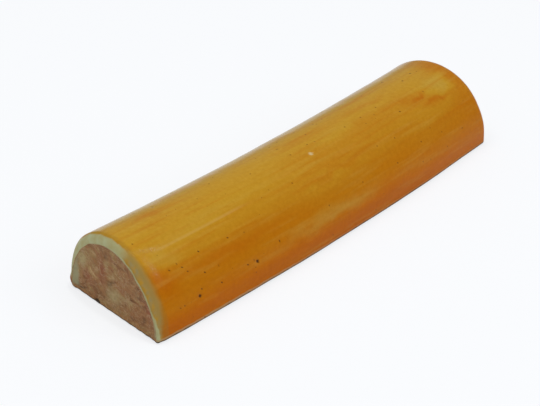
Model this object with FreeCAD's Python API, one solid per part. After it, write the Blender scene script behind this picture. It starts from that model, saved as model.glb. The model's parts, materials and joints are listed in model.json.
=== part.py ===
# Ceramic pencil liner: a handmade glazed trim tile, pressed and fired as one piece.
#
# The tile is a half-round bar on two short straight sides, with a flat back that is
# bedded on a wall. It warped a little in the kiln, so in plan it follows a shallow arc,
# and one end was cut a few degrees out of square. The glaze rounds the edges over.
#
# Millimetres. +X runs along the length, +Y across the width and +Z out of the wall.
# The origin is the middle of the flat back: the bottom centre of the bounding box.

import FreeCAD
import Part

import math
import os

from FreeCAD import Vector

# Driving sizes
LENGTH = 102.0            # between the middles of the two ends, 4 in nominal
WIDTH = 27.5              # across the flat back
SIDE_HEIGHT = 2.75        # straight side, from the back up to where the arch springs
PLAN_BOW = 1.6            # how far the middle stands off the line joining the two ends
CUT_END_SKEW = 3.0        # degrees that the -X end is out of square
END_ROUND = 1.8           # radius over the arched edge of each end
BACK_ROUND = 0.5          # radius round the rim of the flat back

# Worked out from them
ARCH_RADIUS = WIDTH / 2
HEIGHT = SIDE_HEIGHT + ARCH_RADIUS
BOW_RADIUS = ((LENGTH / 2) ** 2 + PLAN_BOW ** 2) / (2 * PLAN_BOW)
END_ANGLE = math.degrees(math.asin(LENGTH / 2 / BOW_RADIUS))

# Modelling allowances, which leave no trace on the finished tile
SPARE_ANGLE = END_ANGLE / 4     # the bar is swept this much past each end, then trimmed
TRIM_REACH = 2 * WIDTH          # half width of the block that trims the ends
NEAR_ZERO = 1e-4

NODE = "liner_tile"


def section():
    """The tile's cross-section, as a face across the middle of its length."""
    left_foot = Vector(0, -WIDTH / 2, 0)
    right_foot = Vector(0, WIDTH / 2, 0)
    left_spring = Vector(0, -WIDTH / 2, SIDE_HEIGHT)
    right_spring = Vector(0, WIDTH / 2, SIDE_HEIGHT)
    crown = Vector(0, 0, HEIGHT)
    outline = [
        Part.makeLine(left_foot, right_foot),
        Part.makeLine(right_foot, right_spring),
        Part.Arc(right_spring, crown, left_spring).toShape(),
        Part.makeLine(left_spring, left_foot),
    ]
    return Part.Face(Part.Wire(outline))


def bow_centre():
    """The middle of the arc that the tile follows in plan."""
    return Vector(0, BOW_RADIUS, 0)


def swept_bar():
    """The section carried along the bow, a little past both ends."""
    half_sweep = END_ANGLE + SPARE_ANGLE
    start = section()
    start.rotate(bow_centre(), Vector(0, 0, 1), -half_sweep)
    return start.revolve(bow_centre(), Vector(0, 0, 1), 2 * half_sweep)


def end_line(side, skew):
    """Two points in plan on the cut of one end: side is -1 or 1, skew is in degrees."""
    along_bow = FreeCAD.Rotation(Vector(0, 0, 1), side * END_ANGLE)
    onto_cut = FreeCAD.Rotation(Vector(0, 0, 1), side * END_ANGLE + skew)
    middle = bow_centre() - along_bow.multVec(bow_centre())
    reach = onto_cut.multVec(Vector(0, TRIM_REACH, 0))
    return middle - reach, middle + reach


def trim_block():
    """A block whose two end faces are the cuts at the ends of the tile."""
    cut_low, cut_high = end_line(-1, -CUT_END_SKEW)
    square_low, square_high = end_line(1, 0)
    corners = [cut_low, square_low, square_high, cut_high, cut_low]
    plan = Part.Face(Part.makePolygon(corners))
    plan.translate(Vector(0, 0, -HEIGHT))
    return plan.extrude(Vector(0, 0, 3 * HEIGHT))


def is_on_plane(edge, point, normal):
    """True if both ends and the middle of an edge lie on the plane."""
    first, last = edge.FirstParameter, edge.LastParameter
    samples = [edge.valueAt(first + (last - first) * share) for share in (0, 0.5, 1)]
    return all(abs((sample - point).dot(normal)) < NEAR_ZERO for sample in samples)


def arched_edges(tile, side, skew):
    """The edges of one end that go over the arch: all but the one along the back."""
    low, high = end_line(side, skew)
    normal = (high - low).cross(Vector(0, 0, 1)).normalize()
    on_end = [edge for edge in tile.Edges if is_on_plane(edge, low, normal)]
    return [edge for edge in on_end if edge.BoundBox.ZMax > NEAR_ZERO]


def back_rim(tile):
    """The edges all round the flat back."""
    return [edge for edge in tile.Edges if edge.BoundBox.ZMax < NEAR_ZERO]


def liner_tile():
    """The whole tile, one solid, with the bottom centre of its box at the origin."""
    tile = swept_bar().common(trim_block())
    edges = arched_edges(tile, -1, -CUT_END_SKEW) + arched_edges(tile, 1, 0)
    tile = tile.makeFillet(END_ROUND, edges)
    tile = tile.makeFillet(BACK_ROUND, back_rim(tile))
    tile = tile.Solids[0]
    box = tile.optimalBoundingBox(False)
    tile.translate(Vector(-box.Center.x, -box.Center.y, -box.ZMin))
    return tile


def main():
    os.makedirs("parts", exist_ok=True)
    tile = liner_tile()
    tile.exportStep(os.path.join("parts", NODE + ".step"))
    box = tile.optimalBoundingBox(False)
    print(NODE, "valid" if tile.isValid() else "NOT VALID", f"{tile.Volume:.1f} mm3")
    print(f"size {box.XLength:.2f} x {box.YLength:.2f} x {box.ZLength:.2f} mm")


main()
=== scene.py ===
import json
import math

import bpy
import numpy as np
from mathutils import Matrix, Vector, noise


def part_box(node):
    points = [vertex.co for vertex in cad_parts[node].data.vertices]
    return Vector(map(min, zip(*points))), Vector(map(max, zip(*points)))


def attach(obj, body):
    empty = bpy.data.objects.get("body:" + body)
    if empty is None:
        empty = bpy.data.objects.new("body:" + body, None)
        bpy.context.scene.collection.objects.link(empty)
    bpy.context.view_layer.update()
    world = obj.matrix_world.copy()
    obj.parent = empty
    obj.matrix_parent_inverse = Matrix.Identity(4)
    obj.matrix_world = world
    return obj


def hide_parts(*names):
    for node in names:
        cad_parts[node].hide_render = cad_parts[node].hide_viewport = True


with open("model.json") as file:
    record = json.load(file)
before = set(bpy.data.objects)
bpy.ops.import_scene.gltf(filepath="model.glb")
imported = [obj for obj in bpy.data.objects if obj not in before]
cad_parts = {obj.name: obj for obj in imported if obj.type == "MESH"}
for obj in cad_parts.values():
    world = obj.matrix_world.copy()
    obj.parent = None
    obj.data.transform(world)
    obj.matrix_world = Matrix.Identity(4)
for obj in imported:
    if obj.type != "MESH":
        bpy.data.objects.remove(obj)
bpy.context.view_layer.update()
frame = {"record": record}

# A handmade ceramic pencil liner: honey-amber glaze over white slip, on pink-buff clay
# that shows bare on both ends and the back.
#
# The glazed tile is one mesh that stands for the CAD node liner_tile. Shapes are worked
# out in millimetres in the CAD frame and written to the mesh in metres. Two coordinates
# run over the glaze: "along", mm from the skewed end, and "crown angle", degrees round
# the arch from its top, positive towards -Y.

MM = 0.001
NODE = "liner_tile"

# ---------------------------------------------------------------- sizes, in mm

box_low, box_high = (Vector(corner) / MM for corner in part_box(NODE))
HEIGHT = box_high.z - box_low.z
WIDTH = 27.5                    # across the flat back
ARCH_RADIUS = WIDTH / 2
SIDE_HEIGHT = HEIGHT - ARCH_RADIUS
LENGTH = 102.0                  # between the middles of the two ends
PLAN_BOW = 1.6
BOW_RADIUS = ((LENGTH / 2) ** 2 + PLAN_BOW ** 2) / (2 * PLAN_BOW)
FOOT_ROUND = 0.5

# Mesh spacing
ARCH_COLUMNS = 150
SIDE_COLUMNS = 8
FOOT_COLUMNS = 5
BACK_COLUMNS = 46
BAR_STATIONS = 280
ROUND_STATIONS = 12
CAP_RINGS = 40

# How far the glaze surface may lie under the CAD surface, so that it stays in its box
GLAZE_SINK = 0.10
GLAZE_WAVE = 0.08
HAIRLINE_ANGLE = 29.5
RIB_PITCH = 2.4                 # of the faint ribs along the back
BEAD_PITCH = 1.5                # of the beads on the creases behind the rim
PIT_SEED = 12

# Pinholes: how many are spread evenly and how many crowd low on the -Y flank near the
# skewed end, their smallest and largest radius, and the two big ones, which stand at about
# a tenth and a quarter of the length, as along, crown angle and radius
EVEN_PINHOLES = 34
CROWDED_PINHOLES = 14
PINHOLE_RADII = (0.14, 0.27)
BIG_PINHOLES = ((0.10 * LENGTH, 78, 0.45), (0.25 * LENGTH, 76, 0.45))

# A flake of glaze off, down to the white slip: along, crown angle and radius
CHIP = (LENGTH / 2, 18, 0.45)

# Soft patches in the glaze: along, crown angle, half length, half width in degrees, and
# tone, which is deeper orange above 0 and paler olive below
PATCHES = (
    (3, 52, 3, 16, 1.0), (20, 57, 15, 8, 0.9), (12, -6, 3, 4, 0.6), (73, 0, 7, 4, 0.5),
    (52, 41, 14, 4, 0.5), (50, 88, 45, 4, 0.7), (86, 24, 4, 4, 1.0), (90, 35, 4, 5, 1.2),
    (99, 15, 4, 45, 1.0), (5, 38, 3, 8, -1.0), (93, 20, 4, 13, -1.2), (48, 74, 12, 6, -0.7),
    (20, 22, 14, 6, -0.3), (62, 10, 12, 5, -0.3), (30, -16, 20, 9, -0.4),
    (66, 24, 28, 15, 0.5),
)

# Marks in the clay of the skewed end: across, height, their half sizes, and tone, which is
# redder above 0 and paler buff below
CLAY_MARKS = (
    (4, 8, 1.2, 2.6, 1.3), (1, 4, 2.4, 1.8, -1.2), (2, 10, 0.6, 1.4, -0.9),
    (-10, 6, 0.7, 2.4, 1.3), (-6, 4, 1.4, 1.4, 0.6), (-3, 5, 2.6, 0.6, -1.0),
    (10, 8, 1.2, 2.0, -1.6), (8, 5, 1.8, 1.6, 0.8),
)


# ---------------------------------------------------------------- small maths

def smooth_step(low, high, value):
    """0 below low, 1 above high and an even ease between, on numbers or arrays."""
    share = np.clip((value - low) / (high - low), 0.0, 1.0)
    return share * share * (3 - 2 * share)


def bump_at(value, centre, reach):
    """A bell that is 1 at the centre and fades out over about twice the reach."""
    return np.exp(-((value - centre) / reach) ** 2)


def field(points, size, octaves=3, seed=0.0):
    """Smooth noise of about -1 to 1 at each point, with features of that size in mm."""
    shift = Vector((seed, -seed, 2 * seed))
    return np.array([
        noise.fractal(Vector(point) / size + shift, 0.9, 2.1, octaves) for point in points
    ])


# ---------------------------------------------------------------- the bow and the ends

def end_plane(mount_name):
    """A point on one end's cut and the cut's normal, in plan and in mm."""
    mount = next(m for m in frame["record"]["mounts"] if m["name"] == mount_name)
    return np.array(mount["pos_m"][:2]) / MM, np.array(mount["axis"][:2])


SKEWED_POINT, SKEWED_NORMAL = end_plane("skewed_end")
SQUARE_POINT, SQUARE_NORMAL = end_plane("square_end")

# The square end's plane passes through the centre of the bow
CENTRE_Y = box_low.y + ARCH_RADIUS + BOW_RADIUS
CENTRE_X = SQUARE_POINT[0] - (CENTRE_Y - SQUARE_POINT[1]) * SQUARE_NORMAL[1] / SQUARE_NORMAL[0]


def angle_on_plane(across, point, normal):
    """Bow angle at which a line that far across the tile meets an upright end plane."""
    facing = normal if normal[0] > 0 else -normal
    tilt = math.atan2(facing[1], facing[0])
    offset = facing @ (point - np.array([CENTRE_X, CENTRE_Y]))
    return tilt + np.arcsin(offset / (BOW_RADIUS - across))


def on_bow(angle, across, up):
    """Points in the CAD frame, in mm, from bow angle, distance across and height."""
    radius = BOW_RADIUS - across
    x = CENTRE_X + radius * np.sin(angle)
    y = CENTRE_Y - radius * np.cos(angle)
    return np.stack([x, y, np.broadcast_to(up, x.shape)], -1)


# ---------------------------------------------------------------- the section

def arc_points(centre, radius, start, end, count):
    """Points on an arc and the directions out of it, without the last point."""
    turn = np.radians(np.linspace(start, end, count, endpoint=False))
    out = np.stack([np.cos(turn), np.sin(turn)], -1)
    return np.array(centre) + radius * out, out


def line_points(start, end, out, count):
    """Evenly spaced points from start to end, without the end, all facing out."""
    share = np.linspace(0, 1, count, endpoint=False)[:, None]
    points = np.array(start) * (1 - share) + np.array(end) * share
    return points, np.tile(np.array(out, float), (count, 1))


def section_outline():
    """The closed outline as (y, z) and outward directions, from the +Y foot over the arch."""
    half = WIDTH / 2
    inner = half - FOOT_ROUND
    runs = [
        arc_points((inner, FOOT_ROUND), FOOT_ROUND, -90, 0, FOOT_COLUMNS),
        line_points((half, FOOT_ROUND), (half, SIDE_HEIGHT), (1, 0), SIDE_COLUMNS),
        arc_points((0, SIDE_HEIGHT), ARCH_RADIUS, 0, 180, ARCH_COLUMNS),
        line_points((-half, SIDE_HEIGHT), (-half, FOOT_ROUND), (-1, 0), SIDE_COLUMNS),
        arc_points((-inner, FOOT_ROUND), FOOT_ROUND, 180, 270, FOOT_COLUMNS),
        line_points((-inner, 0), (inner, 0), (0, -1), BACK_COLUMNS),
    ]
    return np.vstack([run[0] for run in runs]), np.vstack([run[1] for run in runs])


OUTLINE, OUTWARD = section_outline()
COLUMNS = len(OUTLINE)
BACK_START = COLUMNS - BACK_COLUMNS
CROWN_ANGLE = np.degrees(np.arctan2(-OUTLINE[:, 0], np.maximum(OUTLINE[:, 1] - SIDE_HEIGHT, 0)))
RISE = OUTLINE[:, 1] / HEIGHT
STEPS = np.linalg.norm(np.roll(OUTLINE, -1, 0) - OUTLINE, axis=1)
AROUND = np.concatenate([[0], np.cumsum(STEPS)])
ON_BACK = np.arange(COLUMNS) >= BACK_START


# ---------------------------------------------------------------- how the ends round over

# How far across each column lies, 1 at the +Y foot and -1 at the -Y foot
FOOT_SHARE = OUTLINE[:, 0] / (WIDTH / 2 - FOOT_ROUND)
BACK_LIFT = 0.35        # how far the back's edge lifts where it meets an end
BACK_REACH = 0.4        # and over what length


def inset_vectors(inset):
    """How far each column moves in: the feet come in with the sides and the back narrows."""
    low = OUTLINE[:, 1] < FOOT_ROUND
    across = inset * np.where(low, np.clip(FOOT_SHARE, -1, 1), OUTWARD[:, 0])
    return np.stack([across, OUTWARD[:, 1] * np.where(low, BACK_LIFT, inset)], -1)


def eased_to_back(reach):
    """The reach, which shortens to the back's own just inside the feet."""
    share = np.abs(FOOT_SHARE) ** 8
    return np.where(ON_BACK, BACK_REACH + (reach - BACK_REACH) * share, reach)


def ragged_rim(size, seed):
    """Unevenness of about -1 to 1 round the rim, with features of that size in mm."""
    return field(np.stack([AROUND[:-1], 0 * RISE, 0 * RISE], -1), size, 3, seed)


def skewed_end_rounding():
    """Inset and reach of the rounding at each column of the end that shows its clay."""
    right = smooth_step(10, 60, CROWN_ANGLE)
    left = smooth_step(10, 70, -CROWN_ANGLE)
    crown = 1 - np.maximum(right, left)
    inset = 0.75 + 0.95 * smooth_step(0.05, 0.6, RISE) + 0.3 * crown + 0.2 * left
    inset = inset + 0.35 * bump_at(CROWN_ANGLE, 45, 22)
    inset = inset + 0.6 * left * smooth_step(0.35, 0.0, RISE)
    reach = 1.15 + 0.15 * crown + 0.9 * right * smooth_step(0.0, 0.35, RISE)
    inset = inset + (0.10 + 0.12 * right) * ragged_rim(2.6, 4.0)
    return inset_vectors(inset), eased_to_back(reach)


def square_end_rounding():
    """The same for the far end, which is rounder and more even."""
    inset = 0.8 + 1.3 * smooth_step(0.05, 0.7, RISE) + 0.14 * ragged_rim(2.6, 9.0)
    reach = 1.0 + 1.3 * smooth_step(0.05, 0.7, RISE)
    return inset_vectors(inset), eased_to_back(reach)


def rounding_rings(inset, reach, plane, side, flatness):
    """Rings from the bar's flank to the rim of one end's clay face.

    Each ring gives bow angles, section points, outward share of the end and edge distance.
    """
    rings = []
    span = np.hypot(np.linalg.norm(inset, axis=1), reach)
    for step in np.linspace(0, 1, ROUND_STATIONS + 1):
        turn = step * math.pi / 2
        in_share = flatness * step + (1 - flatness) * (1 - math.cos(turn))
        out_share = flatness * (1 - step) + (1 - flatness) * (1 - math.sin(turn))
        points = OUTLINE - inset * in_share
        angle = angle_on_plane(points[:, 0], *plane)
        angle = angle - side * reach * out_share / (BOW_RADIUS - points[:, 0])
        rings.append((angle, points, np.full(COLUMNS, math.sin(turn)), (1 - step) * span))
    return rings


# ---------------------------------------------------------------- the whole grid

def scattered_pinholes():
    """Every pinhole as along, crown angle and radius, the same each run."""
    dice = np.random.default_rng(PIT_SEED)
    holes = list(BIG_PINHOLES)
    for _ in range(EVEN_PINHOLES):
        place = dice.uniform(5, LENGTH - 4), dice.uniform(-86, 84)
        holes.append((*place, dice.uniform(*PINHOLE_RADII)))
    for _ in range(CROWDED_PINHOLES):
        place = 5 + 32 * dice.uniform() ** 1.5, dice.uniform(45, 82)
        holes.append((*place, dice.uniform(*PINHOLE_RADII)))
    return holes


PINHOLES = scattered_pinholes()


def distance_from(along, angle, spot_along, spot_angle):
    """Distance in mm over the glaze from a spot given by its along and crown angle."""
    around = np.radians(angle - spot_angle) * ARCH_RADIUS
    return np.hypot(along - spot_along, around)


def crease_share(along, angle):
    """1 on the two beaded creases behind the skewed end's rim, where glaze has gathered."""
    lengthwise = bump_at(angle, 20 + 1.3 * along, 2.2) * bump_at(along, 4.2, 2.4)
    round_rim = bump_at(along, 2.6, 0.7) * bump_at(angle, 38, 10)
    return np.maximum(lengthwise, round_rim)


def hairline(along, angle):
    """A fine raised line that runs along the flank from near the skewed end."""
    return bump_at(angle, HAIRLINE_ANGLE, 0.9) * smooth_step(3, 8, along) * smooth_step(31, 24, along)


def glaze_height(along, angle, points):
    """How far each glaze point stands off the CAD surface: waves, ridges and pits."""
    height = GLAZE_WAVE * field(points, 21.0, 2, 1.0) + 0.035 * field(points, 5.0, 2, 7.0)
    height = np.clip(height, -0.5, GLAZE_SINK - 0.02) - GLAZE_SINK
    height += 0.03 * hairline(along, angle)
    beads = 0.6 + 0.4 * np.sin(along * 2 * math.pi / BEAD_PITCH)
    height += 0.07 * crease_share(along, angle) * beads
    height -= 0.28 * bump_at(along, 2.6, 1.7) * bump_at(angle, 28, 8)
    for spot_along, spot_angle, radius in PINHOLES:
        distance = distance_from(along, angle, spot_along, spot_angle)
        height -= 0.5 * radius * np.exp(-(distance / radius) ** 2)
    return height


def build_grid():
    """The rounding rings at both ends: from the skewed end's clay to the bar, and from the bar to the
    square end's clay.
    """
    near_plane = (SKEWED_POINT, SKEWED_NORMAL)
    far_plane = (SQUARE_POINT, SQUARE_NORMAL)
    near_inset, near_reach = skewed_end_rounding()
    far_inset, far_reach = square_end_rounding()
    near = rounding_rings(near_inset, near_reach, near_plane, -1, 0.45)[::-1]
    far = rounding_rings(far_inset, far_reach, far_plane, 1, 0.0)
    return near, far


def ring_table(near, far):
    """Stacks every ring: angles, section points, end share and distances to both rims."""
    start, end = near[-1], far[0]
    angles, points, share, near_edge, far_edge = [], [], [], [], []
    length = (end[0] - start[0]) * BOW_RADIUS
    for angle, outline, lean, edge in near:
        angles.append(angle)
        points.append(outline)
        share.append(-lean)
        near_edge.append(edge)
        far_edge.append(length + end[3] + start[3] - edge)
    for part in np.linspace(0, 1, BAR_STATIONS + 1)[1:-1]:
        angles.append(start[0] * (1 - part) + end[0] * part)
        points.append(OUTLINE)
        share.append(np.zeros(COLUMNS))
        near_edge.append(start[3] + length * part)
        far_edge.append(end[3] + length * (1 - part))
    for angle, outline, lean, edge in far:
        angles.append(angle)
        points.append(outline)
        share.append(lean)
        near_edge.append(start[3] + length + end[3] - edge)
        far_edge.append(edge)
    return tuple(np.array(rows) for rows in (angles, points, share, near_edge, far_edge))


SKEWED_SEED, SQUARE_SEED = 1.0, 11.0      # of the noise in each end's clay


def cap_points(rim, seed, inward):
    """Rings of the clay face of one end, inside its rim, and its middle point last."""
    middle = rim.mean(0)
    middle[2] = 0.42 * HEIGHT
    shares = np.linspace(0, 1, CAP_RINGS + 1)[1:-1]
    rings = np.concatenate([rim * (1 - s) + middle * s for s in shares] + [middle[None]])
    depth = np.concatenate([np.full(COLUMNS, s) for s in shares] + [[1.0]])
    return rings + inward * cap_relief(rings, depth, seed)[:, None]


def cap_relief(points, depth, seed):
    """How deep the clay face lies under its rim: a step, torn streaks and grit."""
    streaked = points * np.array([1.0, 0.55, 0.55])
    streaked[:, 1] += 0.45 * points[:, 2]
    streaked[:, 2] -= 0.45 * points[:, 1]
    torn = field(streaked * np.array([1.0, 1.0, 2.2]), 3.2, 4, seed)
    grit = field(points, 0.9, 3, seed + 3)
    step = 0.22 * smooth_step(0.0, 0.07, depth)
    relief = step + 0.11 * torn + 0.05 * grit + 0.03
    if seed == SKEWED_SEED:
        notch = np.hypot((points[:, 1] - 5.9) / 1.3, points[:, 2] / 0.95)
        relief = relief + 1.1 * smooth_step(1.0, 0.45, notch)
    return np.maximum(relief, 0.0)


def outward_normals(angles, share):
    """Unit normals for every ring: the section's, leaning to the end over the rounding."""
    flat = np.sqrt(1 - share ** 2)
    across, up = OUTWARD[:, 0] * flat, OUTWARD[:, 1] * flat
    x = share * np.cos(angles) - across * np.sin(angles)
    y = share * np.sin(angles) + across * np.cos(angles)
    return np.stack([x, y, np.broadcast_to(up, x.shape)], -1)


def tile_shape():
    """Every vertex of the tile's skin in mm, and the fields that its materials read."""
    near, far = build_grid()
    angles, sections, share, near_edge, far_edge = ring_table(near, far)
    points = on_bow(angles, sections[..., 0], sections[..., 1])
    normals = outward_normals(angles, share)
    along = (angles - angles[0].mean()) * BOW_RADIUS
    crown = np.broadcast_to(CROWN_ANGLE, angles.shape)
    shape = angles.shape

    flat_points = points.reshape(-1, 3)
    height = glaze_height(along.ravel(), crown.ravel(), flat_points).reshape(shape)

    # A bead of glaze stands along the rim of the skewed end, down its -Y side
    right = smooth_step(16, 32, CROWN_ANGLE)
    bead = bump_at(near_edge, 0.55, 0.38) * right
    groove = bump_at(near_edge, 1.35, 0.45) * right
    height = height + 0.16 * bead - 0.10 * groove

    # A flake of glaze is missing near the crown
    chip_along, chip_angle, chip_radius = CHIP
    chip_distance = distance_from(along / 1.4, crown, chip_along / 1.4, chip_angle)
    chip = smooth_step(1.0, 0.6, chip_distance / chip_radius)
    height = height - 0.12 * chip

    back_relief = 0.05 * field(flat_points, 1.4, 3, 5.0).reshape(shape) - 0.06
    back_relief += 0.03 * np.sin(points[..., 1] * 2 * math.pi / RIB_PITCH)
    back_relief -= 0.02 + 0.1 * np.abs(share)
    height = np.where(ON_BACK, np.minimum(back_relief, 0), height)
    points = points + normals * height[..., None]

    # A run of glaze has gathered at the +Y foot of the skewed end
    foot = points[ROUND_STATIONS // 2, FOOT_COLUMNS + SIDE_COLUMNS // 2]
    lump = np.exp(-(((points - foot) / np.array([1.5, 1.4, 1.2])) ** 2).sum(-1))
    points = points + np.array([-0.20, 0.40, 0.0]) * lump[..., None]
    points = np.clip(points, box_low, box_high)

    fields = {
        "along": along,
        "crown_angle": crown,
        "around": np.broadcast_to(AROUND[:-1], shape),
        "near_edge": near_edge,
        "far_edge": far_edge,
        "rise": points[..., 2],
        "chip": chip,
        "lump": lump,
        "pit": pit_field(along, crown),
        "tone": patch_tone(along, crown, flat_points),
        "line": hairline(along, crown),
        "crease": crease_share(along, crown),
    }
    return points, fields


def patch_tone(along, crown, points):
    """The glaze's patches added up, with their outlines pulled about by soft noise."""
    pull = 2.2 * field(points, 6.0, 3, 21.0).reshape(along.shape)
    tone = np.zeros(along.shape)
    for spot_along, spot_angle, half_length, half_width, strength in PATCHES:
        far = ((along - spot_along + pull) / half_length) ** 2
        far = far + ((crown - spot_angle + 3 * pull) / half_width) ** 2
        tone += strength * np.exp(-far)
    hidden_side = smooth_step(20, 50, -crown)
    drawn_out = points * np.array([0.35, 1, 1])
    return tone + 0.9 * hidden_side * field(drawn_out, 7.0, 3, 51.0).reshape(along.shape)


def slip_smear(points):
    """Slip dragged over the clay of the skewed end: a strip at +Y and torn flecks at -Y."""
    pull = field(points, 1.6, 3, 72.0)
    strip = smooth_step(10.9, 11.9, points[:, 1] + 0.5 * pull)
    flecks = smooth_step(11.3, 12.2, 1.1 * pull - points[:, 1]) * smooth_step(9, 6, points[:, 2])
    return np.maximum(strip, flecks) * smooth_step(0.7, 1.6, points[:, 2])


def clay_tone(points):
    """The skewed end's clay marks added up, with their outlines pulled about by noise."""
    pull = 0.7 * field(points, 2.2, 3, 32.0)
    tone = np.zeros(len(points))
    for across, height, half_width, half_height, strength in CLAY_MARKS:
        far = ((points[:, 1] - across + pull) / half_width) ** 2
        far = far + ((points[:, 2] - height - pull) / half_height) ** 2
        tone += strength * np.exp(-far)
    return tone


def pit_field(along, crown):
    """1 in the middle of each pinhole and 0 from its rim out."""
    pit = np.zeros(along.shape)
    for spot_along, spot_angle, radius in PINHOLES:
        distance = distance_from(along, crown, spot_along, spot_angle)
        pit = np.maximum(pit, 1 - distance / (1.15 * radius))
    return np.clip(pit, 0, 1)


# ---------------------------------------------------------------- mesh

ATLAS = 110.0       # mm of surface across the whole UV map
ATLAS_MARGIN = 2.0
GLAZE_SLOT, CLAY_SLOT, BACK_SLOT = 0, 1, 2


def tile_mesh():
    """The tile as one mesh: skin quads, two clay faces, UV map and material fields."""
    skin, fields = tile_shape()
    rings = skin.shape[0]
    inward = [np.append(-SKEWED_NORMAL, 0), np.append(-SQUARE_NORMAL, 0)]
    caps = [
        cap_points(skin[0], SKEWED_SEED, inward[0]),
        cap_points(skin[-1], SQUARE_SEED, inward[1]),
    ]
    for cap in caps:
        cap[:, 2] = np.maximum(cap[:, 2], 0.0)
    vertices = np.vstack([skin.reshape(-1, 3)] + caps)

    faces, slots, uvs = [], [], []
    near_u = fields["near_edge"].mean(1)
    for ring in range(rings - 1):
        base = ring * COLUMNS
        for column in range(COLUMNS):
            after = (column + 1) % COLUMNS
            faces.append((base + column, base + COLUMNS + column,
                          base + COLUMNS + after, base + after))
            slots.append(BACK_SLOT if column >= BACK_START else GLAZE_SLOT)
            low, high = AROUND[column], AROUND[column + 1]
            gap = 2 * ATLAS_MARGIN if column >= BACK_START else ATLAS_MARGIN
            left, right = near_u[ring] + ATLAS_MARGIN, near_u[ring + 1] + ATLAS_MARGIN
            uvs += [(left, low + gap), (right, low + gap), (right, high + gap), (left, high + gap)]

    cap_level = AROUND[-1] + 3 * ATLAS_MARGIN
    for end, cap in enumerate(caps):
        first = rings * COLUMNS + end * len(caps[0])
        rim = end * (rings - 1) * COLUMNS
        middle = first + (CAP_RINGS - 1) * COLUMNS
        shift_u = ATLAS_MARGIN + WIDTH / 2 + end * (WIDTH + 2 * ATLAS_MARGIN)
        for level in range(CAP_RINGS):
            outer = rim if level == 0 else first + (level - 1) * COLUMNS
            for column in range(COLUMNS):
                after = (column + 1) % COLUMNS
                if level < CAP_RINGS - 1:
                    inner = first + level * COLUMNS
                    corners = [outer + column, outer + after, inner + after, inner + column]
                else:
                    corners = [outer + column, outer + after, middle]
                if end == 1:
                    corners.reverse()
                faces.append(tuple(corners))
                slots.append(CLAY_SLOT)
                uvs += [vertices[corner][1:] + (shift_u, cap_level) for corner in corners]

    mesh = bpy.data.meshes.new("glazed_liner_tile")
    mesh.from_pydata((vertices * MM).tolist(), [], faces)
    mesh.polygons.foreach_set("material_index", slots)
    mesh.polygons.foreach_set("use_smooth", [True] * len(faces))
    layer = mesh.uv_layers.new(name="OFBake")
    layer.data.foreach_set("uv", (np.array(uvs) / ATLAS).ravel())

    on_both_caps = 2 * len(caps[0])
    on_clay = {
        "tone": np.concatenate([clay_tone(caps[0]), 1.2 * field(caps[1], 4.5, 3, 42.0)]),
        "rise": np.concatenate(caps)[:, 2],
        "smear": np.concatenate([slip_smear(caps[0]), np.zeros(len(caps[1]))]),
    }
    fields["smear"] = np.zeros(skin.shape[:2])
    for name, values in fields.items():
        attribute = mesh.attributes.new(name, "FLOAT", "POINT")
        on_caps = on_clay.get(name, np.zeros(on_both_caps))
        padded = np.concatenate([np.asarray(values, float).ravel(), on_caps])
        attribute.data.foreach_set("value", padded)
    return mesh


# ---------------------------------------------------------------- material helpers

def linear(red, green, blue):
    """Screen colour, 0 to 255, as the linear RGBA that nodes take."""
    shares = [channel / 255 for channel in (red, green, blue)]
    return tuple(
        share / 12.92 if share <= 0.04045 else ((share + 0.055) / 1.055) ** 2.4
        for share in shares
    ) + (1.0,)


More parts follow.
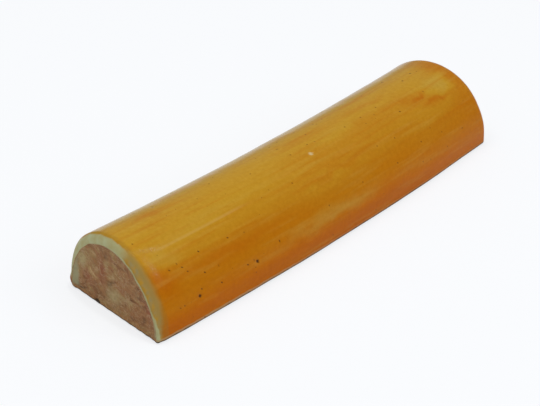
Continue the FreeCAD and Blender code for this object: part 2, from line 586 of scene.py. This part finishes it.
class Surface:
    """One node material, with short ways to add and join its nodes."""

    def __init__(self, name):
        self.material = bpy.data.materials.new(name)
        self.material.use_nodes = True
        self.tree = self.material.node_tree
        self.shader = self.tree.nodes["Principled BSDF"]

    def add(self, kind, settings=None, **inputs):
        node = self.tree.nodes.new("ShaderNode" + kind)
        for key, value in (settings or {}).items():
            setattr(node, key, value)
        for key, value in inputs.items():
            self.put(node.inputs[self.socket(node, key)], value)
        return node

    @staticmethod
    def socket(node, key):
        """The number of an input, from i and its number or from its name in lower case."""
        if key[0] == "i" and key[1:].isdigit():
            return int(key[1:])
        names = [entry.name.lower().replace(" ", "_") for entry in node.inputs]
        return names.index(key)

    def put(self, socket, value):
        if isinstance(value, bpy.types.NodeSocket):
            self.tree.links.new(value, socket)
        else:
            socket.default_value = value

    def field(self, name):
        return self.add("Attribute", {"attribute_name": name}).outputs["Fac"]

    def math(self, operation, first, second=0.0, clamp=False):
        node = self.add("Math", {"operation": operation, "use_clamp": clamp}, i0=first, i1=second)
        return node.outputs[0]

    def step(self, value, low, high):
        """0 at low and 1 at high, eased; low may be the greater."""
        node = self.add(
            "MapRange", {"interpolation_type": "SMOOTHSTEP"},
            value=value, from_min=min(low, high), from_max=max(low, high),
            to_min=0.0 if low < high else 1.0, to_max=1.0 if low < high else 0.0,
        )
        return node.outputs[0]

    def mix(self, share, first, second, blend="MIX"):
        node = self.add("Mix", {"data_type": "RGBA", "blend_type": blend})
        self.put(node.inputs[0], share)
        self.put(node.inputs[6], first)
        self.put(node.inputs[7], second)
        return node.outputs[2]

    def ramp(self, value, stops, interpolation="LINEAR"):
        node = self.add("ValToRGB", None, fac=value)
        node.color_ramp.interpolation = interpolation
        elements = node.color_ramp.elements
        while len(elements) < len(stops):
            elements.new(0.5)
        for element, (position, colour) in zip(elements, stops):
            element.position = position
            element.color = colour
        return node.outputs[0]

    def noise(self, vector, scale, detail=3.0, roughness=0.5, distortion=0.0):
        node = self.add(
            "TexNoise", None, vector=vector, scale=scale, detail=detail,
            roughness=roughness, distortion=distortion,
        )
        return node.outputs[0]

    def position(self, scale=(1, 1, 1), turn=(0, 0, 0)):
        """The place on the object, in mm times the scale."""
        coordinates = self.add("TexCoord").outputs["Object"]
        node = self.add(
            "Mapping", None, vector=coordinates, rotation=turn,
            scale=tuple(axis / MM for axis in scale),
        )
        return node.outputs[0]

    def finish(self, **inputs):
        for key, value in inputs.items():
            self.put(self.shader.inputs[self.socket(self.shader, key)], value)
        return self.material


# ---------------------------------------------------------------- materials

SLIP = linear(175, 177, 135)
SLIP_WARM = linear(167, 157, 106)
SPECK_BROWN = linear(84, 50, 20)


def glaze_flow(s):
    """Coordinates that run with the brush: mm along and mm around."""
    return s.add("CombineXYZ", None, x=s.field("along"), y=s.field("around"), z=0.0).outputs[0]


def stretched(s, flow, along, around):
    """The same coordinates as cycles along and around, so that patterns can be drawn out."""
    node = s.add("VectorMath", {"operation": "MULTIPLY"}, i0=flow, i1=(along, around, 1.0))
    return node.outputs[0]


def honey_glaze():
    """Amber glaze: yellower on the crown, deep orange low on the flanks, brushed lengthwise."""
    s = Surface("honey_glaze")
    flow = glaze_flow(s)
    angle = s.math("ABSOLUTE", s.field("crown_angle"))
    cloud = s.noise(stretched(s, flow, 0.05, 0.10), 1.0, 3.0)
    wander = s.math("MULTIPLY", s.math("SUBTRACT", cloud, 0.5), 26.0)
    place = s.math("DIVIDE", s.math("ADD", angle, wander), 92.0, clamp=True)
    colour = s.ramp(place, (
        (0.00, linear(188, 142, 42)),
        (0.28, linear(186, 139, 36)),
        (0.44, linear(183, 130, 28)),
        (0.56, linear(180, 117, 18)),
        (0.80, linear(184, 111, 8)),
        (0.94, linear(186, 102, 2)),
        (1.00, linear(182, 96, 1)),
    ))

    # Painted sheen: an olive tint over the upper +Y side of the arch, where it turns away to the
    # silhouette, stands for the olive-grey sheen the glaze shows there at grazing angles
    hidden_side = s.math("MULTIPLY", s.step(s.field("crown_angle"), -8.0, -30.0), 0.5)
    colour = s.mix(hidden_side, colour, linear(162, 142, 52))

    tone = s.field("tone")
    colour = s.mix(s.math("MULTIPLY", tone, 0.62, clamp=True), colour, linear(176, 92, 4))
    colour = s.mix(s.math("MULTIPLY", tone, -0.6, clamp=True), colour, linear(184, 150, 62))

    streaks = s.noise(stretched(s, flow, 0.045, 0.6), 1.0, 4.0, 0.55)
    share = s.math("MULTIPLY", s.step(streaks, 0.46, 0.74), 0.42)
    colour = s.mix(share, colour, linear(178, 100, 8))
    pale = s.noise(stretched(s, flow, 0.045, 0.5), 1.3, 3.0, 0.5)
    share = s.math("MULTIPLY", s.step(pale, 0.48, 0.76), 0.22)
    colour = s.mix(share, colour, linear(192, 154, 66))
    mottle = s.noise(flow, 1.1, 4.0, 0.65)
    shade = s.ramp(mottle, ((0.3, (0.94, 0.91, 0.80, 1)), (0.7, (1.05, 1.07, 1.15, 1))))
    colour = s.mix(1.0, colour, shade, "MULTIPLY")
    # Painted highlight: the ridge is real relief, but the pale tint along it stands for the light the
    # ridge catches
    colour = s.mix(s.math("MULTIPLY", s.field("line"), 0.32), colour, linear(206, 172, 104))

    near = s.field("near_edge")
    ragged = s.math("MULTIPLY", s.math("SUBTRACT", s.noise(s.position(), 0.55, 3.0), 0.5), 0.8)
    near_ragged = s.math("ADD", near, ragged)
    right = s.step(s.field("crown_angle"), 12.0, 24.0)

    # Olive-brown glaze pooled on the facet beside the rim, then the yellow bead
    rim_shade = s.math("MULTIPLY", s.step(near_ragged, 3.3, 2.4), 0.4)
    colour = s.mix(rim_shade, colour, linear(150, 112, 40))
    low = s.step(s.field("rise"), 8.0, 1.5)
    narrowed = s.math("ADD", near_ragged, s.math("MULTIPLY", low, 0.9))
    facet = s.math("MULTIPLY", s.step(narrowed, 2.8, 1.7), right)
    colour = s.mix(s.math("MULTIPLY", facet, 0.8), colour, linear(157, 134, 76))
    bead = s.math("MULTIPLY", s.step(near_ragged, 1.5, 0.9), right)
    blotch = s.step(s.noise(s.position(), 0.7, 3.0), 0.35, 0.75)
    bead_tone = s.mix(blotch, linear(170, 130, 50), linear(144, 130, 88))
    colour = s.mix(bead, colour, bead_tone)

    # White slip bare over the crown of the rounding, and as a thin line at the rim
    band = s.math("MULTIPLY", s.step(near_ragged, 2.05, 1.6), s.math("SUBTRACT", 1.0, right))
    thread = s.step(s.math("SUBTRACT", near_ragged, s.math("MULTIPLY", low, 0.6)), 0.5, 0.15)
    slip = s.math("MAXIMUM", band, thread)
    slip_tone = s.mix(s.step(s.noise(s.position(), 0.5, 3.0), 0.2, 0.8), SLIP, SLIP_WARM)
    colour = s.mix(slip, colour, slip_tone)
    far_thread = s.step(s.math("ADD", s.field("far_edge"), ragged), 0.7, 0.35)
    colour = s.mix(far_thread, colour, slip_tone)

    # The glaze stops just above the back, over a thin line of slip. Below that line the clay edge is
    # darkened: a painted contact shadow where the tile meets the floor.
    rise = s.math("ADD", s.field("rise"), s.math("MULTIPLY", ragged, 0.5))
    foot = s.step(rise, 1.05, 0.85)
    paler = s.math("ADD", s.math("MULTIPLY", s.step(s.field("along"), 60.0, 15.0), 0.5), 0.2)
    colour = s.mix(s.math("MULTIPLY", foot, paler), colour, linear(176, 146, 104))
    # Painted contact shadow along the bottom edge
    colour = s.mix(s.step(rise, 0.62, 0.45), colour, linear(82, 66, 46))

    colour = s.mix(s.field("chip"), colour, linear(204, 180, 128))
    colour = s.mix(s.step(s.field("lump"), 0.1, 0.8), colour, linear(140, 80, 34))
    colour = s.mix(s.step(s.field("pit"), 0.1, 0.55), colour, SPECK_BROWN)

    # Many finer pinholes, thinly scattered
    cells = s.add("TexVoronoi", {"voronoi_dimensions": "2D"}, vector=flow, scale=0.36)
    pick = s.add("SeparateColor", None, color=cells.outputs["Color"])
    size = s.math("MULTIPLY", s.step(pick.outputs[0], 0.72, 1.0), 0.07)
    clear = s.math("MULTIPLY", s.step(near, 3.0, 4.0), s.step(s.field("far_edge"), 3.0, 4.0))
    size = s.math("MULTIPLY", size, clear)
    speck = s.math("LESS_THAN", cells.outputs["Distance"], size)
    colour = s.mix(s.math("MULTIPLY", speck, 0.6), colour, linear(110, 66, 20))

    skin = s.noise(flow, 0.8, 2.0)
    brush = s.noise(stretched(s, flow, 0.05, 1.1), 1.0, 3.0)
    relief = s.math("ADD", s.math("MULTIPLY", skin, 0.5), brush)
    relief = s.math("SUBTRACT", relief, s.math("MULTIPLY", speck, 0.8))
    bump = s.add("Bump", None, strength=0.12, distance=0.00025, height=relief)
    grains = s.noise(s.position(), 1.7, 1.0)
    beads = s.add("Bump", None, strength=1.0, distance=0.0009, height=grains)
    matt = s.math("MULTIPLY", s.math("MAXIMUM", slip, foot), 0.26)
    return s.finish(
        base_color=colour, roughness=s.math("ADD", matt, 0.18), normal=bump.outputs[0],
        specular_ior_level=0.07, specular_tint=(1.0, 0.62, 0.25, 1.0),
        coat_weight=s.math("MULTIPLY", s.field("crease"), 1.0, clamp=True),
        coat_roughness=0.05, coat_normal=beads.outputs[0],
    )


def bare_clay(name, dirt, edge_contact_shade):
    """Pink-buff clay torn by the cut: marbled patches, pale swirls, grit and small voids."""
    s = Surface(name)
    place = s.position((0.26, 0.26, 0.36), (math.radians(-35), 0, 0))
    marble = s.noise(place, 1.0, 4.0, 0.55, 1.2)
    colour = s.ramp(marble, (
        (0.28, linear(106, 70, 36)),
        (0.40, linear(137, 95, 54)),
        (0.52, linear(157, 112, 69)),
        (0.62, linear(151, 117, 69)),
        (0.74, linear(186, 151, 102)),
    ))
    tone = s.field("tone")
    worn = s.math("MULTIPLY", s.math("SUBTRACT", s.noise(place, 1.8, 3.0, 0.5), 0.5), 1.6)
    tone = s.math("ADD", tone, worn)
    colour = s.mix(s.math("MULTIPLY", tone, 0.7, clamp=True), colour, linear(142, 80, 48))
    colour = s.mix(s.math("MULTIPLY", tone, -0.65, clamp=True), colour, linear(170, 150, 104))
    vein = s.math("ABSOLUTE", s.math("SUBTRACT", s.noise(place, 1.1, 3.0, 0.5, 1.8), 0.5))
    colour = s.mix(s.math("MULTIPLY", s.step(vein, 0.035, 0.0), 0.4), colour, linear(188, 158, 120))
    crack = s.math("ABSOLUTE", s.math("SUBTRACT", s.noise(place, 1.5, 3.0, 0.5, 2.4), 0.47))
    colour = s.mix(s.math("MULTIPLY", s.step(crack, 0.02, 0.0), 0.45), colour, linear(104, 70, 46))
    grit = s.noise(s.position(), 1.6, 3.0, 0.65)
    colour = s.mix(1.0, colour, s.ramp(grit, (
        (0.28, (0.88, 0.86, 0.82, 1)), (0.72, (1.10, 1.10, 1.08, 1)),
    )), "MULTIPLY")
    colour = s.mix(dirt, colour, linear(96, 72, 56))
    colour = s.mix(s.math("MULTIPLY", s.field("smear"), 0.85), colour, linear(158, 154, 116))
    # Painted contact shadow: the clay's lowest edge, where the end meets the floor, is darkened
    base_edge = s.math("MULTIPLY", s.step(s.field("rise"), 0.55, 0.38), edge_contact_shade)
    colour = s.mix(base_edge, colour, linear(74, 60, 42))
    torn = s.noise(place, 1.6, 2.5, 0.5, 1.2)
    relief = s.math("ADD", s.math("MULTIPLY", torn, 1.6), s.math("MULTIPLY", grit, 0.6))
    bump = s.add("Bump", None, strength=0.5, distance=0.0003, height=relief)
    return s.finish(
        base_color=colour, roughness=0.72, normal=bump.outputs[0], specular_ior_level=0.3,
    )


# ---------------------------------------------------------------- stage, light and camera

def pale_floor():
    """A wide pale floor under the tile."""
    mesh = bpy.data.meshes.new("floor")
    reach = 8.0
    corners = [(-reach, -reach, 0), (reach, -reach, 0), (reach, reach, 0), (-reach, reach, 0)]
    mesh.from_pydata(corners, [], [(0, 1, 2, 3)])
    floor = bpy.data.objects.new("floor", mesh)
    bpy.context.scene.collection.objects.link(floor)
    floor.location.z = box_low.z * MM - 0.00002
    s = Surface("pale_floor")
    path = s.add("LightPath")
    seen = s.math(
        "MAXIMUM", path.outputs["Is Camera Ray"], path.outputs["Is Transmission Ray"]
    )
    glow = s.add("Emission", None, color=(0.975, 0.985, 1.0, 1.0), strength=1.0)
    s.finish(base_color=(0.93, 0.95, 0.98, 1.0), roughness=1.0, specular_ior_level=0.0)
    lit = s.math("MULTIPLY", seen, 0.72)
    blend = s.add("MixShader", None, fac=lit)
    s.tree.links.new(s.shader.outputs[0], blend.inputs[1])
    s.tree.links.new(glow.outputs[0], blend.inputs[2])
    s.tree.links.new(blend.outputs[0], s.tree.nodes["Material Output"].inputs[0])
    mesh.materials.append(s.material)


def soft_lamp(name, azimuth, elevation, distance, size, power):
    """A square lamp that faces the tile from a compass angle and a height above the floor."""
    data = bpy.data.lights.new(name, "AREA")
    data.size = size
    data.energy = power
    lamp = bpy.data.objects.new(name, data)
    bpy.context.scene.collection.objects.link(lamp)
    turn, rise = math.radians(azimuth), math.radians(elevation)
    away = Vector((math.cos(turn) * math.cos(rise), math.sin(turn) * math.cos(rise), math.sin(rise)))
    lamp.location = away * distance
    lamp.rotation_euler = away.to_track_quat("Z", "Y").to_euler()


def studio():
    """An even pale room and soft lamps above the tile."""
    world = bpy.data.worlds.new("studio")
    bpy.context.scene.world = world
    world.use_nodes = True
    background = world.node_tree.nodes["Background"]
    background.inputs["Color"].default_value = (0.95, 0.97, 1.0, 1.0)
    background.inputs["Strength"].default_value = 0.40
    soft_lamp("overhead_softbox", 150, 74, 0.9, 0.55, 3.0)
    soft_lamp("side_softbox", 285, 38, 1.0, 0.6, 2.0)
    soft_lamp("small_lamp", 290, 80, 0.9, 0.07, 1.3)


CAMERA_ANGLES = (41.0, 30.5, 0.2)       # azimuth looked along, elevation and roll
CAMERA_DISTANCE = 352.5                 # mm from the point looked at
CAMERA_TARGET = Vector((0.45, 6.05, -0.2))
SENSOR_WIDTH, LENS_LENGTH = 36.0, 111.8


def photo_camera():
    """The camera: where it stands as angles about the tile, and how it is rolled."""
    azimuth, elevation, roll = (math.radians(angle) for angle in CAMERA_ANGLES)
    along = Vector((
        math.cos(azimuth) * math.cos(elevation),
        math.sin(azimuth) * math.cos(elevation),
        -math.sin(elevation),
    ))
    right = Vector((math.sin(azimuth), -math.cos(azimuth), 0.0))
    up = right.cross(along)
    rolled_right = right * math.cos(roll) + up * math.sin(roll)
    rolled_up = up * math.cos(roll) - right * math.sin(roll)
    data = bpy.data.cameras.new("camera")
    data.sensor_width = SENSOR_WIDTH
    data.lens = LENS_LENGTH
    data.clip_start = 0.01
    data.clip_end = 50.0
    camera = bpy.data.objects.new("camera", data)
    bpy.context.scene.collection.objects.link(camera)
    axes = Matrix((rolled_right, rolled_up, -along)).transposed().to_4x4()
    place = CAMERA_TARGET - along * CAMERA_DISTANCE
    camera.matrix_world = Matrix.Translation(place * MM) @ axes
    bpy.context.scene.camera = camera


# ---------------------------------------------------------------- make it

def glazed_tile():
    piece = bpy.data.objects.new("glazed_liner_tile", tile_mesh())
    bpy.context.scene.collection.objects.link(piece)
    piece.data.materials.append(honey_glaze())
    piece.data.materials.append(bare_clay("clay_of_the_ends", 0.0, 1.0))
    piece.data.materials.append(bare_clay("clay_of_the_back", 0.15, 0.0))
    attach(piece, "root")
    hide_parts(NODE)


bpy.context.scene.view_settings.view_transform = "Standard"
photo_camera()
pale_floor()
studio()
glazed_tile()
